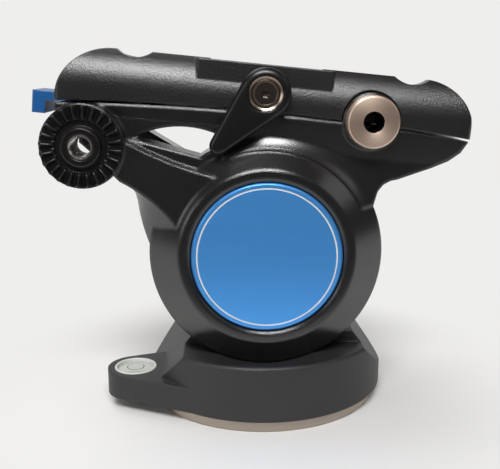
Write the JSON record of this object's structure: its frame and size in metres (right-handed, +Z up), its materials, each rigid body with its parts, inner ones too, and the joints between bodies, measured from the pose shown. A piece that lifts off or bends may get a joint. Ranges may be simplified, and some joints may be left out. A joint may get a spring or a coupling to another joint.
{
  "type": "fluid video head",
  "caption": "Fluid video head: round pan base with spirit level, drag-damped tilt cradle with blue side caps, toothed handle seats and a lever-locked dovetail plate clamp.",
  "frame": {"origin": "centre of the base plate's underside, at the mouth of the tripod thread on the pan axis", "axes": "+X towards the lens side, +Y towards the operator's left, +Z up along the pan axis"},
  "size_m": [0.1022, 0.0732, 0.0881],
  "materials": {
    "plate_metal": "satin turned",
    "housing_paint": "matte dark grey powder coat",
    "cradle_paint": "satin black paint",
    "clamp_coat": "fine-textured black powder coat",
    "cap_blue": "brushed blue anodised",
    "tab_blue": "satin blue anodised",
    "seat_black": "gloss black",
    "lever_black": "satin black",
    "knob_black": "moulded, fine grain",
    "bolt_steel": "gunmetal",
    "steel": "machined",
    "port_metal": "lathe-turned, warm satin",
    "drag_metal": "flat lapped",
    "bronze": "sintered bronze",
    "seal_rubber": "soft",
    "brake_pad": "fibre-filled",
    "level_white": "smooth",
    "level_glass": "clear, pale liquid",
    "jaw_metal": "hard anodised"
  },
  "bodies": {
    "base": {"base_plate": "plate_metal", "pan_drag_disc": "drag_metal", "pan_thrust_washer": "bronze", "pan_nut": "steel"},
    "pan": {"pan_housing": "housing_paint", "pan_bush": "bronze", "pan_seal": "seal_rubber", "level_cup": "level_white", "level_vial": "level_glass", "tilt_barrel": "housing_paint", "barrel_screws": "bolt_steel", "right_barrel_cover": "drag_metal", "left_barrel_cover": "drag_metal", "right_tilt_bush": "bronze", "left_tilt_bush": "bronze", "balance_spring": "steel", "drag_stators": "drag_metal"},
    "tilt": {"cradle": "cradle_paint", "right_cap": "cap_blue", "left_cap": "cap_blue", "tilt_axle": "steel", "axle_nuts": "steel", "drag_rotors": "drag_metal", "right_handle_seat": "seat_black", "left_handle_seat": "seat_black", "right_insert": "steel", "left_insert": "steel", "clamp_body": "clamp_coat", "clamp_screws": "bolt_steel", "accessory_port": "port_metal"},
    "plate_lock": {"plate_lever": "lever_black", "lever_bolt": "bolt_steel", "lever_washer": "steel"},
    "jaw": {"sliding_jaw": "jaw_metal"},
    "release": {"release_tab": "tab_blue"},
    "catch": {"safety_pin": "steel"},
    "tilt_lock": {"tilt_lock_lever": "lever_black", "tilt_lock_screw": "bolt_steel"},
    "tilt_brake": {"tilt_brake_pad": "brake_pad"},
    "pan_lock": {"pan_lock_knob": "knob_black", "pan_lock_screw": "bolt_steel"},
    "pan_brake": {"pan_brake_shoe": "brake_pad"}
  },
  "joints": [
    {"name": "pan_turn", "type": "hinge", "parent": "base", "child": "pan", "pos_m": [0, 0, 0.01], "axis": [0, 0, 1], "continuous": true},
    {"name": "tilt_swing", "type": "hinge", "parent": "pan", "child": "tilt", "pos_m": [0, 0, 0.04175], "axis": [0, 1, 0], "range_deg": [-60, 62]},
    {"name": "lever_turn", "type": "hinge", "parent": "tilt", "child": "plate_lock", "pos_m": [-0.00043, -0.026, 0.07837], "axis": [0, 1, 0], "range_deg": [0, 85]},
    {"name": "jaw_slide", "type": "slide", "parent": "tilt", "child": "jaw", "axis": [0, -1, 0], "range_m": [0, 0.0009]},
    {"name": "release_push", "type": "slide", "parent": "tilt", "child": "release", "axis": [0.9952, 0, -0.0976], "range_m": [0, 0.0025], "stiffness_N_per_m": 500, "springref_m": -0.002},
    {"name": "catch_drop", "type": "slide", "parent": "tilt", "child": "catch", "axis": [-0.0976, 0, -0.9952], "range_m": [0, 0.0018]},
    {"name": "tilt_lock_turn", "type": "hinge", "parent": "tilt", "child": "tilt_lock", "pos_m": [-0.01615, 0.03, 0.02848], "axis": [0, 1, 0], "range_deg": [0, 80]},
    {"name": "tilt_brake_slide", "type": "slide", "parent": "tilt", "child": "tilt_brake", "axis": [0, -1, 0], "range_m": [0, 0.0004]},
    {"name": "pan_lock_turn", "type": "hinge", "parent": "pan", "child": "pan_lock", "pos_m": [0, 0.036, 0.00735], "axis": [0, 1, 0], "range_deg": [0, 90]},
    {"name": "pan_brake_slide", "type": "slide", "parent": "pan", "child": "pan_brake", "axis": [0, -1, 0], "range_m": [0, 0.0004]}
  ],
  "couplings": [
    {"joint": "jaw_slide", "follows": "lever_turn", "m_per_rad": 0.0006},
    {"joint": "catch_drop", "follows": "release_push", "ratio": 0.7},
    {"joint": "tilt_brake_slide", "follows": "tilt_lock_turn", "m_per_rad": 0.00028},
    {"joint": "pan_brake_slide", "follows": "pan_lock_turn", "m_per_rad": 0.00025}
  ]
}
